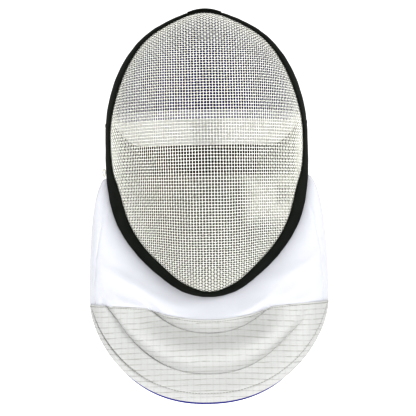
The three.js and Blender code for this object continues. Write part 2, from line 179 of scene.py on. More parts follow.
def read_table(column, turn, turns=RIM_TURN):
    """Smooth reading of a column of a table at a turn, with level ends."""
    slope = np.zeros(len(column))
    slope[1:-1] = (column[2:] - column[:-2]) / (turns[2:] - turns[:-2])
    i = np.clip(np.searchsorted(turns, turn, side="left") - 1, 0, len(column) - 2)
    span = turns[i + 1] - turns[i]
    u = (turn - turns[i]) / span
    rise = column[i + 1] - column[i]
    bend = u * (1 - u) * ((1 - u) * (slope[i] * span - rise) - u * (slope[i + 1] * span - rise))
    return column[i] + u * rise + bend


def dome(share):
    return 1 - (1 - np.minimum(share, 1) ** DOME_POWER) ** SHOULDER_POWER


def face_depth(x, share, turn, up):
    """How far back the face stands, from its place across, its share of the way to the rim and its turn."""
    fullness = read_table(RIM_FULLNESS, turn)
    depth = FACE_DEPTH - np.where(up >= 0, BROW_SET_FORWARD, CHIN_SET_FORWARD) * up * up
    beside = (np.hypot(x, CREASE_ROUND) - CREASE_ROUND) / FACE_HALF_WIDTH
    fall_back = CREASE_DEPTH * beside * (1 - share * share)
    return -FACE_DEPTH + depth * dome(fullness * share) / dome(fullness) + fall_back


def face_point(angle, share):
    """Point of the face at an angle round its middle, 90 being up, and a share of the way to the rim."""
    across, up = np.cos(np.radians(angle)), np.sin(np.radians(angle))
    turn = np.degrees(np.arctan2(up, np.abs(across)))
    reach = read_table(RIM_REACH, turn) * share
    x = reach * FACE_HALF_WIDTH * across
    z = reach * np.where(up >= 0, FACE_RISE, FACE_DROP) * up
    return np.stack([x, face_depth(x, share, turn, up), z], -1)


def face_at(x, z):
    """Point of the face straight behind a place in the front view, and its share of the way to the rim."""
    across, up = x / FACE_HALF_WIDTH, z / np.where(z >= 0, FACE_RISE, FACE_DROP)
    size = np.maximum(np.hypot(across, up), 1e-9)
    turn = np.degrees(np.arctan2(up, np.abs(across)))
    share = size / read_table(RIM_REACH, turn)
    return np.stack([x, face_depth(x, np.minimum(share, 1), turn, up / size), z], -1), share


def face_frame(angle, share):
    """Outward normal of the face and its direction towards the rim."""
    step = 0.002
    nearer = face_point(angle, np.minimum(share + step, 1))
    to_rim = unit(nearer - face_point(angle, np.maximum(share - step, 0.0005)))
    round_it = face_point(angle + 0.5, share) - face_point(angle - 0.5, share)
    return unit(np.cross(to_rim, round_it)), to_rim


def face_offset(angle, share, offset):
    normal, _ = face_frame(angle, share)
    return face_point(angle, share) + normal * np.asarray(offset)[..., None]


def share_inside_rim(angle, distance):
    """Share of the way to the rim at a distance inside it over the mesh, for arrays of angles."""
    shares = 1 - np.linspace(0, 1, 161)
    angle, distance = np.broadcast_arrays(np.asarray(angle, float), np.asarray(distance, float))
    points = face_point(angle[..., None], shares)
    steps = np.linalg.norm(np.diff(points, axis=-2), axis=-1)
    run = np.concatenate([np.zeros(angle.shape + (1,)), np.cumsum(steps, -1)], -1)
    flat = [np.interp(d, r, shares) for d, r in zip(distance.ravel(), run.reshape(-1, 161))]
    return np.array(flat).reshape(angle.shape)


def seat_point():
    share = share_inside_rim(90.0, SEAT_INSET)
    return face_offset(np.array(90.0), share, -PAD_OFFSET - PAD_THICKNESS)


SEAT = seat_point()


def add_mesh(name, points, faces, material, node=None, slot=None, smooth_faces=True, cloth=None):
    """Makes a piece of points in millimetres. cloth is each point's place on the flat cloth."""
    mesh = bpy.data.meshes.new(name)
    mesh.from_pydata((np.asarray(points) - SEAT).reshape(-1, 3) * MM, [], faces)
    mesh.validate()
    if cloth is not None:
        layer = mesh.attributes.new("cloth", "FLOAT_VECTOR", "POINT")
        flat = np.zeros((len(mesh.vertices), 3))
        flat[:, :2] = np.asarray(cloth).reshape(-1, 2) * MM
        layer.data.foreach_set("vector", flat.ravel())
    mesh.materials.append(material)
    mesh.polygons.foreach_set("use_smooth", [smooth_faces] * len(mesh.polygons))
    piece = bpy.data.objects.new(name, mesh)
    bpy.context.collection.objects.link(piece)
    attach(piece, "root")
    if node:
        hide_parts(node)
    return piece


def grid_faces(columns, rows, ring=False, first=0, flip=False):
    """Quads of a grid of points numbered column by column."""
    i, j = np.meshgrid(np.arange(columns if ring else columns - 1), np.arange(rows - 1), indexing="ij")
    n = (i + 1) % columns
    quads = np.stack([i * rows + j, i * rows + j + 1, n * rows + j + 1, n * rows + j], -1).reshape(-1, 4)
    return (quads[:, ::-1] if flip else quads) + first


def wall_faces(columns, rows, ring=False):
    """Quads of a closed wall: a front grid, a back grid and strips round the border."""
    count = columns * rows
    number = np.arange(count).reshape(columns, rows)
    parts = [grid_faces(columns, rows, ring), grid_faces(columns, rows, ring, count, True)]
    borders = []
    if ring:
        loop = np.r_[np.arange(columns), 0]
        borders += [number[loop, -1], number[loop, 0][::-1]]
    else:
        borders.append(np.concatenate([number[0], number[1:, -1], number[-1, -2::-1], number[-2::-1, 0]]))
    for border in borders:
        a, b = border[:-1], border[1:]
        parts.append(np.stack([b, a, a + count, b + count], -1))
    return np.concatenate(parts).tolist()


def grid_normals(grid, outward):
    """Unit normals of a grid of points, on the side that outward points to."""
    beside = np.gradient(grid, axis=0)
    below = np.gradient(grid, axis=1)
    normal = unit(np.cross(beside, below))
    return np.where((normal * outward).sum(-1, keepdims=True) < 0, -normal, normal)


def add_wall(name, front, back, material, cloth=None, **rest):
    """Closed wall between two grids, turned to face out."""
    columns, rows = front.shape[:2]
    faces = wall_faces(columns, rows)
    middle = (front[columns // 2, rows // 2] - back[columns // 2, rows // 2])
    a, b, c, _ = [front.reshape(-1, 3)[k] for k in faces[(columns // 2) * (rows - 1) + rows // 2]]
    if np.dot(np.cross(b - a, c - a), middle) < 0:
        faces = [face[::-1] for face in faces]
    points = np.concatenate([front.reshape(-1, 3), back.reshape(-1, 3)])
    both = None if cloth is None else np.concatenate([cloth.reshape(-1, 2)] * 2)
    return add_mesh(name, points, faces, material, cloth=both, **rest)


# Materials
class Material:
    """A node material built from short calls."""

    def __init__(self, name, roughness, **sockets):
        self.material = bpy.data.materials.new(name)
        self.material.use_nodes = True
        self.tree = self.material.node_tree
        self.shader = self.tree.nodes["Principled BSDF"]
        self.shader.inputs["Roughness"].default_value = roughness
        for key, value in sockets.items():
            self.shader.inputs[key.replace("_", " ")].default_value = value

    def node(self, kind, inputs=(), **settings):
        node = self.tree.nodes.new(kind)
        for key, value in settings.items():
            setattr(node, key, value)
        for key, value in dict(inputs).items():
            if isinstance(value, bpy.types.NodeSocket):
                self.tree.links.new(value, node.inputs[key])
            else:
                node.inputs[key].default_value = value
        return node

    def math(self, operation, a, b=0.0, c=0.0):
        return self.node("ShaderNodeMath", {0: a, 1: b, 2: c}, operation=operation).outputs[0]

    def place(self, scale=1.0):
        where = self.node("ShaderNodeTexCoord").outputs["Object"]
        return self.node("ShaderNodeVectorMath", {0: where, 3: scale}, operation="SCALE").outputs[0]

    def cloth(self):
        """The two coordinates on the flat cloth, in metres."""
        layer = self.node("ShaderNodeAttribute", attribute_name="cloth").outputs["Vector"]
        parts = self.node("ShaderNodeSeparateXYZ", {0: layer})
        return parts.outputs[0], parts.outputs[1]

    def noise(self, scale, detail=3.0, roughness=0.55):
        inputs = {"Vector": self.place(), "Scale": scale, "Detail": detail, "Roughness": roughness}
        return self.node("ShaderNodeTexNoise", inputs).outputs["Fac"]

    def ramp(self, value, stops):
        node = self.node("ShaderNodeValToRGB", {"Fac": value})
        elements = node.color_ramp.elements
        while len(elements) < len(stops):
            elements.new(0.5)
        for element, (place, colour) in zip(elements, stops):
            element.position = place
            element.color = (*colour, 1)
        return node.outputs["Color"]

    def mix(self, factor, a, b, blend="MIX"):
        node = self.node("ShaderNodeMix", data_type="RGBA", blend_type=blend)
        for socket, value in ((node.inputs[0], factor), (node.inputs[6], a), (node.inputs[7], b)):
            if isinstance(value, bpy.types.NodeSocket):
                self.tree.links.new(value, socket)
            else:
                socket.default_value = value if isinstance(value, float) else (*value, 1)
        return node.outputs[2]

    def colour(self, value):
        self.tree.links.new(value, self.shader.inputs["Base Color"])

    def rough(self, value):
        self.tree.links.new(value, self.shader.inputs["Roughness"])

    def bump(self, height, strength, distance):
        inputs = {"Height": height, "Strength": strength, "Distance": distance}
        bump = self.node("ShaderNodeBump", inputs)
        last = self.shader.inputs["Normal"].links
        if last:
            self.tree.links.new(last[0].from_socket, bump.inputs["Normal"])
        self.tree.links.new(bump.outputs[0], self.shader.inputs["Normal"])


def linear(red, green, blue):
    """Linear colour of an sRGB colour given in 0 to 255."""
    values = [v / 255 for v in (red, green, blue)]
    return tuple(v / 12.92 if v <= 0.04045 else ((v + 0.055) / 1.055) ** 2.4 for v in values)


def let_light_through(m, colour, share):
    """Lets a share of the light behind a thin cloth through."""
    through = m.node("ShaderNodeBsdfTranslucent", {"Color": (*colour, 1)})
    mixed = m.node("ShaderNodeMixShader", {0: share, 1: m.shader.outputs[0], 2: through.outputs[0]})
    m.tree.links.new(mixed.outputs[0], m.tree.nodes["Material Output"].inputs["Surface"])


def wave(m, coordinate, period):
    """Sine of a coordinate, from 0 to 1 once a period."""
    turns = m.math("MULTIPLY", coordinate, 2 * math.pi / (period * MM))
    return m.math("MULTIPLY_ADD", m.math("SINE", turns), 0.5, 0.5)


def weave(m, period):
    """Height of a plain weave on the flat cloth's coordinates."""
    u, v = m.cloth()
    return m.math("MULTIPLY", wave(m, u, period), wave(m, v, period))


def tone_and_shadow_patch(m, base, across, level, half_width, half_height, softness, tint, strength):
    """Lays a soft-edged patch over a colour, on the side towards the face; the flap's dark patch is painted
    shadow.
    """
    x, _, z = m.node("ShaderNodeSeparateXYZ", {0: m.place()}).outputs
    facing = m.node("ShaderNodeNewGeometry").outputs["True Normal"]
    ahead = m.math("LESS_THAN", m.node("ShaderNodeSeparateXYZ", {0: facing}).outputs[1], 0.0)
    aside = m.math("DIVIDE", m.math("ABSOLUTE", m.math("SUBTRACT", x, across)), half_width)
    above = m.math("DIVIDE", m.math("ABSOLUTE", m.math("SUBTRACT", z, level)), half_height)
    edge = m.math("MULTIPLY", m.math("SUBTRACT", 1.5, m.math("MAXIMUM", aside, above)), 1 / softness)
    inside = m.math("MULTIPLY", m.math("MINIMUM", m.math("MAXIMUM", edge, 0.0), 1.0), strength)
    return m.mix(m.math("MULTIPLY", inside, ahead), base, tint)


def cloth_material(name, colour, roughness=0.85, thread=0.7, variation=0.05, sheen=0.2, weave_bump=0.25,
                   tones_and_shadows=()):
    m = Material(name, roughness, Specular_IOR_Level=0.12, Sheen_Weight=sheen, Sheen_Roughness=0.6)
    darker = tuple(c * (1 - variation) for c in colour)
    broad = m.ramp(m.noise(45.0), [(0.35, darker), (0.65, colour)])
    threads = weave(m, thread)
    # painted shade between the threads: the colour is darker where the weave's bump sinks
    shade = m.ramp(threads, [(0.0, tuple([1 - variation] * 3)), (0.7, (1, 1, 1))])
    base = m.mix(1.0, broad, shade, "MULTIPLY")
    # the patches lay a pale tone and painted shadow into the colour
    for patch in tones_and_shadows:
        base = tone_and_shadow_patch(m, base, **patch)
    m.colour(base)
    m.rough(m.math("MULTIPLY_ADD", m.noise(300.0), 0.12, roughness - 0.06))
    m.bump(threads, weave_bump, 0.0002)
    m.bump(m.noise(160.0, 4.0), 0.15, 0.0006)
    return m.material


def wire_material():
    m = Material("coated_wire", 0.32, Metallic=0.0, Coat_Weight=0.25, Coat_Roughness=0.2)
    cream = linear(243, 243, 237)
    worn = linear(216, 215, 205)
    m.colour(m.ramp(m.noise(260.0, 4.0, 0.6), [(0.3, worn), (0.5, cream)]))
    m.rough(m.math("MULTIPLY_ADD", m.noise(900.0, 2.0), 0.2, 0.24))
    m.bump(m.noise(1500.0, 2.0), 0.12, 0.0001)
    return m.material


def vinyl_material(name, colour, lighter):
    m = Material(name, 0.62, Specular_IOR_Level=0.06)
    m.colour(m.ramp(m.noise(60.0, 5.0, 0.6), [(0.35, colour), (0.7, lighter)]))
    m.rough(m.math("MULTIPLY_ADD", m.noise(240.0, 3.0), 0.2, 0.5))
    cells = m.node("ShaderNodeTexVoronoi", {"Vector": m.place(), "Scale": 1100.0}, feature="DISTANCE_TO_EDGE")
    m.bump(cells.outputs["Distance"], 0.35, 0.0003)
    m.bump(m.noise(90.0, 3.0), 0.25, 0.001)
    return m.material


def elastic_material(name, colour, rib=1.6, sheen=0.15):
    m = Material(name, 0.85, Specular_IOR_Level=0.12, Sheen_Weight=sheen)
    u, v = m.cloth()
    ribs = wave(m, v, rib)
    picks = wave(m, u, 0.8)
    # painted shade in the grooves: the elastic is darker where its ribs and picks sink
    darker = tuple(c * 0.78 for c in colour)
    m.colour(m.mix(m.math("MULTIPLY", ribs, m.math("MULTIPLY_ADD", picks, 0.3, 0.7)), darker, colour))
    m.bump(ribs, 0.5, 0.0004)
    m.bump(picks, 0.3, 0.0002)
    let_light_through(m, colour, 0.4)
    return m.material


def conductive_material():
    """Metal thread cloth: a fine grid, with darker threads across every few millimetres."""
    m = Material("conductive_cloth", 0.6, Metallic=0.1, Sheen_Weight=0.1)
    u, v = m.cloth()
    wander = m.math("MULTIPLY", m.math("SUBTRACT", m.noise(26.0, 2.0), 0.5), 0.0022)
    across = m.math("ADD", v, wander)
    thick = m.math("POWER", wave(m, across, 5.3), 24.0)
    between = m.math("POWER", wave(m, across, 1.77), 14.0)
    fine_across = m.math("POWER", wave(m, v, 1.55), 3.0)
    fine_along = m.math("POWER", wave(m, u, 1.9), 3.0)
    broad_along = m.math("POWER", wave(m, u, 6.6), 10.0)
    light = linear(197, 198, 197)
    mid = linear(182, 182, 180)
    dark = linear(147, 145, 141)
    base = m.mix(m.math("MULTIPLY", m.noise(30.0, 4.0), 0.5), light, mid)
    grid = m.math("MAXIMUM", m.math("MULTIPLY", fine_across, 0.45), m.math("MULTIPLY", fine_along, 0.4))
    grid = m.math("MULTIPLY", grid, m.noise(420.0, 3.0, 0.7))
    net = m.mix(grid, base, mid)
    net = m.mix(m.math("MULTIPLY", broad_along, 0.4), net, mid)
    broken = m.ramp(m.noise(110.0, 4.0, 0.7), [(0.36, (0.1, 0.1, 0.1)), (0.62, (0.85, 0.85, 0.85))])
    net = m.mix(m.math("MULTIPLY", between, m.noise(90.0, 4.0)), net, mid)
    m.colour(m.mix(m.math("MULTIPLY", thick, broken), net, dark))
    m.rough(m.math("MULTIPLY_ADD", m.noise(500.0, 2.0), 0.25, 0.5))
    m.bump(thick, 0.35, 0.0003)
    m.bump(grid, 0.2, 0.0002)
    m.bump(m.noise(75.0, 4.0), 0.22, 0.0012)
    return m.material


# Soft patches on the flap, in the frame's metres: a pale tone, and over it a dark one that is painted shadow
# where a gap lies in shade
FLAP_TONE_AND_SHADOW = table("across level half_width half_height softness tint strength",
                     (0.066, -0.179, 0.02, 0.021, 0.9, linear(232, 230, 222), 0.75),
                     # the dark patch is painted shadow
                     (0.082, -0.1745, 0.0065, 0.009, 0.9, linear(62, 61, 55), 0.9))

WIRE_COAT = wire_material()
EDGING = vinyl_material("edging_vinyl", linear(27, 31, 26), linear(38, 41, 35))
TONGUE = vinyl_material("tongue_vinyl", linear(27, 31, 26), linear(38, 41, 35))
BLUE_PAD = cloth_material("blue_pad_cloth", linear(15, 13, 98), thread=0.9, variation=0.25, sheen=0.05)
BINDING = cloth_material("binding_tape", linear(140, 138, 158), thread=0.8, variation=0.15)
WHITE_ELASTIC = elastic_material("white_elastic", linear(242, 242, 240))
BLACK_ELASTIC = elastic_material("black_elastic", linear(10, 10, 9), sheen=0.0)
GREY_CLOTH = cloth_material("grey_flap_cloth", linear(106, 106, 100), thread=1.0, variation=0.2,
                            tones_and_shadows=FLAP_TONE_AND_SHADOW)
WHITE_CLOTH = cloth_material("white_bib_cloth", linear(207, 208, 213), thread=0.6, variation=0.02,
                             weave_bump=0.15)
CONDUCTIVE = conductive_material()
BLUE_LINING = cloth_material("blue_lining_cloth", linear(48, 48, 150), thread=0.7, variation=0.12)
LOOP = Material("milky_loop", 0.35, Transmission_Weight=0.25, Subsurface_Weight=0.2)
LOOP.colour(LOOP.ramp(LOOP.noise(400.0), [(0.3, linear(222, 219, 196)), (0.7, linear(244, 242, 228))]))
DARK_THREAD = cloth_material("dark_thread", linear(34, 35, 33), thread=0.4, variation=0.2)
THREAD = cloth_material("stitch_thread", linear(168, 168, 163), thread=0.4, variation=0.2)


# Woven wire face
def tube_points(path, normal, radius, sides):
    """Rings of points round a path."""
    tangent = unit(np.gradient(path, axis=0))
    side = unit(np.cross(tangent, normal))
    up = np.cross(side, tangent)
    turn = 2 * np.pi * np.arange(sides) / sides
    rise, aside = np.cos(turn)[None, :, None], np.sin(turn)[None, :, None]
    return path[:, None] + radius * (rise * up[:, None] + aside * side[:, None])


def join_tubes(tubes):
    """Points and faces of many closed tubes in one mesh."""
    points, faces, first = [], [], 0
    for tube in tubes:
        rings, sides = tube.shape[:2]
        points.append(tube.reshape(-1, 3))
        i, k = np.meshgrid(np.arange(rings - 1), np.arange(sides), indexing="ij")
        m = (k + 1) % sides
        quads = np.stack([i * sides + k, i * sides + m, (i + 1) * sides + m, (i + 1) * sides + k], -1)
        faces += (quads.reshape(-1, 4) + first).tolist()
        faces.append((np.arange(sides)[::-1] + first).tolist())
        faces.append((np.arange(sides) + first + (rings - 1) * sides).tolist())
        first += rings * sides
    return np.concatenate(points), faces


def woven_face():
    half, half_up = PITCH_ACROSS / 2, PITCH_UP / 2
    across = np.linspace(0, 112, 4481)
    level_line, share = face_at(across, np.full_like(across, WEAVE_LEVEL))
    run = np.concatenate([[0], np.cumsum(np.linalg.norm(np.diff(level_line, axis=0), axis=1))])
    inside = share < 1
    count = int(run[inside][-1] // half)
    right = np.interp(np.arange(count + 1) * half, run, across)
    columns = np.concatenate([-right[:0:-1], right])
    fine = np.arange(-150, 170, 0.2)
    reach = 150
    rows = np.arange(-reach, reach + 1)
    grid = np.full((len(columns), len(rows), 3), np.nan)
    for i, x in enumerate(columns):
        points, share = face_at(np.full_like(fine, x), fine)
        inside = share < 1.0
        if inside.sum() < 8:
            continue
        points, levels = points[inside], fine[inside]
        run = np.concatenate([[0], np.cumsum(np.linalg.norm(np.diff(points, axis=0), axis=1))])
        run -= np.interp(WEAVE_LEVEL, levels, run)
        where = rows * half_up
        ok = (where >= run[0]) & (where <= run[-1])
        level = np.interp(where[ok], run, levels)
        grid[i, ok] = face_at(np.full_like(level, x), level)[0]
    step = 0.05
    flat = np.nan_to_num(grid)
    x, z = flat[..., 0], flat[..., 2]
    slope_x = (face_at(x + step, z)[0][..., 1] - face_at(x - step, z)[0][..., 1]) / (2 * step)
    slope_z = (face_at(x, z + step)[0][..., 1] - face_at(x, z - step)[0][..., 1]) / (2 * step)
    normals = unit(np.stack([slope_x, -np.ones_like(slope_x), slope_z], -1))
    ci = np.arange(len(columns)) - count
    phase = np.cos(np.pi * ci / 2)[:, None] * np.cos(np.pi * rows / 2)[None, :]
    upright_wave = np.where(ci[:, None] % 2 == 0, phase, 0) * CRIMP_UPRIGHT
    cross_wave = np.where(rows[None, :] % 2 == 0, -phase, 0) * CRIMP_CROSS
    ok = ~np.isnan(grid[..., 0])

    def wires(points, valid, waves, directions):
        tubes = []
        edges = np.flatnonzero(np.diff(np.r_[0, valid.astype(int), 0]))
        for start, end in zip(edges[::2], edges[1::2]):
            if end - start < 3:
                continue
            path = points[start:end] + directions[start:end] * waves[start:end, None]
            tubes.append(tube_points(path, directions[start:end], WIRE / 2, WIRE_SIDES))
        return tubes

    names = ("wires_upright_left", "wires_upright_right", "wires_cross_upper", "wires_cross_lower")
    groups = {name: [] for name in names}
    for i in np.flatnonzero(ci % 2 == 0):
        name = "wires_upright_left" if ci[i] < 0 else "wires_upright_right"
        groups[name] += wires(grid[i], ok[i], upright_wave[i], normals[i])
    for j in np.flatnonzero(rows % 2 == 0):
        name = "wires_cross_lower" if rows[j] < 0 else "wires_cross_upper"
        groups[name] += wires(grid[:, j], ok[:, j], cross_wave[:, j], normals[:, j])
    for name, tubes in groups.items():
        points, faces = join_tubes(tubes)
        add_mesh(name, points, faces, WIRE_COAT, node="face_mesh", slot="mesh_wire")


woven_face()


# Edging
def edging():
    stations = np.arange(-90, 270, 1.5)
    turn = np.degrees(np.arcsin(np.sin(np.radians(stations))))
    width = TRIM_WIDTH * read_table(TRIM_SHARE, turn, TRIM_TURN)
    inner_width = np.minimum(TRIM_INNER_WIDTH, 0.6 * width)
    outer_share = [1.0, 0.975, 0.86, 0.68, 0.5, 0.32, 0.16, 0.045, 0.0]
    outer = [TRIM_INNER + 0.35, TRIM_OUTER - 0.25, TRIM_OUTER + 0.05, TRIM_OUTER + 0.25, TRIM_OUTER + 0.3,
             TRIM_OUTER + 0.25, TRIM_OUTER + 0.15, TRIM_OUTER, TRIM_OUTER - 0.2]
    past = [0, 0, 0, 0, 0, 0, 0, 0.2 * TRIM_CAP, 0.75 * TRIM_CAP]
    inner_share = [0.0, 0.1, 0.4, 0.8, 0.96, 1.0]
    inner = [-TRIM_OUTER + 0.2, -TRIM_OUTER, -TRIM_OUTER, -TRIM_OUTER, -TRIM_OUTER + 0.2, -TRIM_INNER - 0.3]
    inner_past = [0.75 * TRIM_CAP, 0.2 * TRIM_CAP, 0, 0, 0, 0]
    back_inner, back_outer = [1.0, 0.4, 0.0], [0.0, 0.18, 0.5, 1.0]
    back = [-TRIM_INNER, -TRIM_INNER, -TRIM_INNER, TRIM_INNER, TRIM_INNER, TRIM_INNER, TRIM_INNER]
    back_past = [0, 0, GAP, GAP, 0, 0, 0]
    insets = np.concatenate([width[:, None] * np.array(outer_share + [0.0]),
                             inner_width[:, None] * np.array(inner_share + back_inner),
                             width[:, None] * np.array(back_outer)], 1)
    offsets = np.array(outer + [0.0] + inner + back)
    pasts = np.array(past + [TRIM_CAP] + inner_past + back_past)
    sides = len(offsets)
    angle = np.repeat(stations[:, None], sides, 1)
    ripple = np.sin(np.radians(stations) * 37) + np.sin(np.radians(stations) * 61 + 1)
    on_outer = (offsets > TRIM_INNER + 0.1)
    offsets = offsets[None] + 0.07 * ripple[:, None] * on_outer[None]
    shares = share_inside_rim(angle, insets)
    _, to_rim = face_frame(angle, np.ones_like(angle))
    points = face_offset(angle, shares, offsets) + to_rim * np.broadcast_to(pasts, angle.shape)[..., None]
    faces = grid_faces(len(stations), sides, ring=True).tolist()
    last = np.arange(len(stations))
    following = (last + 1) % len(stations)
    closing = [last * sides + sides - 1, last * sides, following * sides, following * sides + sides - 1]
    faces += np.stack(closing, -1).tolist()
    return add_mesh("edging", points, faces, EDGING, node="rim_trim", slot="edging")


edging()


# Padding inside the brow
def share_at_level(angle, level, most=0.97):
    return np.clip(level / face_point(angle, np.ones_like(angle))[..., 2], 0.05, most)


def inner_patch(low_share, high_share, rows, columns=145):
    angles = np.linspace(90 - PAD_HALF_TURN, 90 + PAD_HALF_TURN, columns)
    low = low_share(angles)
    share = low[:, None] + (high_share(angles) - low)[:, None] * np.linspace(0, 1, rows)[None]
    return np.repeat(angles[:, None], rows, 1), share


def brow_pad():
    angle, share = inner_patch(lambda a: share_at_level(a, PAD_LOWER_EDGE),
                               lambda a: share_inside_rim(a, PAD_TOP_INSET), 41)
    down, along = np.linspace(0, 1, angle.shape[1])[None], np.linspace(0, 1, angle.shape[0])[:, None]
    crown = (1 - (2 * down - 1) ** 10) * (1 - (2 * along - 1) ** 16)
    channel = np.minimum(np.abs(angle - 66), np.abs(angle - 114)) / 1.6
    crown = crown * (1 - 0.35 * np.exp(-channel ** 2))
    thickness = PAD_THICKNESS * (0.3 + 0.7 * np.clip(crown, 0, 1) ** 0.5)
    front = face_offset(angle, share, np.full(angle.shape, -PAD_OFFSET))
    back = face_offset(angle, share, -PAD_OFFSET - thickness)
    cloth = np.stack([angle * 2.2, front[..., 2]], -1)
    pad = add_wall("brow_padding", front, back, BLUE_PAD, cloth, node="brow_pad", slot="blue_cloth")


def brow_binding():
    top = PAD_LOWER_EDGE - SOFT_GAP
    angle, share = inner_patch(lambda a: share_at_level(a, top - BINDING_HEIGHT, 0.9),
                               lambda a: share_at_level(a, top, 0.955), 9)
    across = np.linspace(-1, 1, 9)[None]
    curve = 1 - np.sqrt(np.clip(1 - 0.9 * across ** 4, 0, 1))
    round_off = 0.5 * BINDING_THICKNESS * curve * np.ones(angle.shape)
    front = face_offset(angle, share, -PAD_OFFSET - round_off)
    back = face_offset(angle, share, -PAD_OFFSET - BINDING_THICKNESS + round_off)
    cloth = np.stack([angle * 2.0, front[..., 2]], -1)
    add_wall("pad_binding", front, back, BINDING, cloth, node="brow_binding", slot="binding")


brow_pad()
brow_binding()


# Straps behind the head
def rim_angle_at(level):
    angles = np.linspace(-60, 60, 2401)
    return np.interp(level, face_point(angles, np.ones_like(angles))[:, 2], angles)


def strap_grid(turn, level, inset=0.0, plan_level=None):
    angle = rim_angle_at(level if plan_level is None else np.full_like(level, plan_level))
    _, to_rim = face_frame(angle, np.ones_like(angle))
    start = face_point(angle, np.ones_like(angle)) + to_rim * (TRIM_CAP + SOFT_GAP + STRAP_THICKNESS / 2)
    across, behind = np.cos(np.radians(turn)), np.sin(np.radians(turn))
    x = (start[..., 0] - inset) * across
    y = start[..., 1] + (STRAP_REACH - start[..., 1] - inset) * behind
    return np.stack([x, y, level + STRAP_RISE * behind], -1)


def add_strap(name, top, low, thickness, material, node, slot, turns=(0, 180), rows=17, ripple=0.0, tuck=0.0,
              **rest):
    """Band behind the head between two levels, given as functions of the turn round it."""
    columns = 145
    turn = np.linspace(*turns, columns)
    share = np.linspace(0, 1, rows)
    level = top(turn)[:, None] + (low(turn) - top(turn))[:, None] * share[None]
    middle = strap_grid(np.repeat(turn[:, None], rows, 1), level, **rest)
    outward = middle * np.array([1, 1, 0])
    normal = grid_normals(middle, outward)
    run = np.concatenate([[0], np.cumsum(np.linalg.norm(np.diff(middle[:, 0], axis=0), axis=1))])
    middle = middle + normal * (ripple * np.sin(run / 17)[:, None] * share[None] ** 2)[..., None]
    hidden = smooth(np.abs(level - level[:, :1]), 6.0, 2.0) if tuck else 0 * level
    middle = middle + normal * (STRAP_TUCK * hidden)[..., None]
    middle[..., 2] += tuck * (1 - smooth(np.abs(level - level[:, :1]), 0.0, 4.0))
    edge = 1 - 0.55 * (2 * share - 1) ** 12
    half = thickness / 2 * edge[None, :, None] * np.ones((columns, rows, 1))
    cloth = np.stack([np.repeat(run[:, None], rows, 1), level], -1)
    front, back = middle + normal * half, middle - normal * half
    return add_wall(name, front, back, material, cloth, node=node, slot=slot)


def straps():
    def end_share(turn):
        return 1 - smooth(np.minimum(turn, 180 - turn), STRAP_TAPER_FROM, STRAP_TAPER_TO)

    add_strap("elastic_upper", lambda t: np.full_like(t, UPPER_STRAP_TOP),
              lambda t: UPPER_STRAP_LOW + STRAP_TAPER * end_share(t),
              STRAP_THICKNESS, WHITE_ELASTIC, "strap_upper", "white_elastic")
    add_strap("elastic_lower", lambda t: LOWER_STRAP_TOP + STRAP_TAPER * end_share(t),
              lambda t: np.full_like(t, LOWER_STRAP_LOW),
              STRAP_THICKNESS, BLACK_ELASTIC, "strap_lower", "black_elastic", rows=33, tuck=1.4)
    top = LOWER_STRAP_LOW - STRAP_SPACING
    flap = add_strap(
        "flap_behind_neck", lambda t: np.full_like(t, top),
        lambda t: top - FLAP_LENGTH + FLAP_CORNER_RISE * (np.abs(t - 90) / FLAP_HALF_TURN) ** 3,
        FLAP_THICKNESS, GREY_CLOTH, "neck_flap", "grey_cloth",
        turns=(90 - FLAP_HALF_TURN, 90 + FLAP_HALF_TURN), rows=61, ripple=1.2, tuck=1.4,
        inset=(FLAP_THICKNESS - STRAP_THICKNESS) / 2, plan_level=LOWER_STRAP_LOW)


straps()


# Bib
def bib_curves(turn, run):
    """Fine points down each column of the bib before its folds, and the share of the drop at each."""
    angle = -90 + turn / 90 * CHIN_TO_SIDE
    ones = np.ones_like(angle)
    normal, to_rim = face_frame(angle, ones)
    top = face_point(angle, ones) + to_rim * (TRIM_CAP + GAP + BIB_WALL / 2)
    spread = np.radians(turn / 90 * BIB_SIDE_TURN)
    across, ahead = np.sin(spread), np.cos(spread)
    hem = np.stack([BIB_HALF_WIDTH * np.sign(across) * np.abs(across) ** HEM_ACROSS_POWER,
                    BIB_SIDE_SET_BACK - BIB_FRONT_REACH * ahead,
                    BIB_WIDEST_LEVEL - BIB_FRONT_DROP * ahead ** HEM_FALL_POWER], -1)
    side = np.sign(turn)
    level = top[:, 2]
    top_end = np.stack([side * BIB_BACK_TOP_HALF_WIDTH, BIB_BACK_EDGE * ones, level], -1)
    hem_end = np.stack([side * BIB_BACK_HALF_WIDTH, BIB_BACK_EDGE * ones, level - BIB_BACK_DROP], -1)
    share = run[:, None]
    start = top + (top_end - top) * share
    end = hem + (hem_end - hem) * share
    end[:, 0] += side * BIB_SIDE_BULGE * np.sin(np.pi * run)
    drop = start[:, 2] - end[:, 2]
    aside = unit(np.stack([side, 0 * side, -ones], -1))
    outward = unit(normal + (aside - normal) * share)
    above = end + np.stack([0 * drop, 0.04 * drop, 0.36 * drop], -1)
    t = np.linspace(0, 1, 201)[None, :, None]
    p = [q[:, None] for q in (start, start + outward * BIB_TOP_FLANGE, above, end)]
    points = (1 - t) ** 3 * p[0] + 3 * (1 - t) ** 2 * t * p[1] + 3 * (1 - t) * t * t * p[2] + t ** 3 * p[3]
    steps = np.linalg.norm(np.diff(points, axis=1), axis=2)
    length = np.concatenate([np.zeros((len(turn), 1)), np.cumsum(steps, 1)], 1)
    return points, length


def fold_valley(fold, turn):
    """Share of the drop where a fold's valley lies, and how strong the fold is at each turn."""
    end = np.clip(np.where(turn < 0, turn / fold["left"], turn / fold["right"]), 0, 1)
    reach = smooth(turn, fold["left"], fold["left"] + FOLD_FADE)
    reach = reach * (1 - smooth(turn, fold["right"] - FOLD_FADE, fold["right"]))
    return fold["level"] + (fold["end"] - fold["level"]) * end ** 2, reach


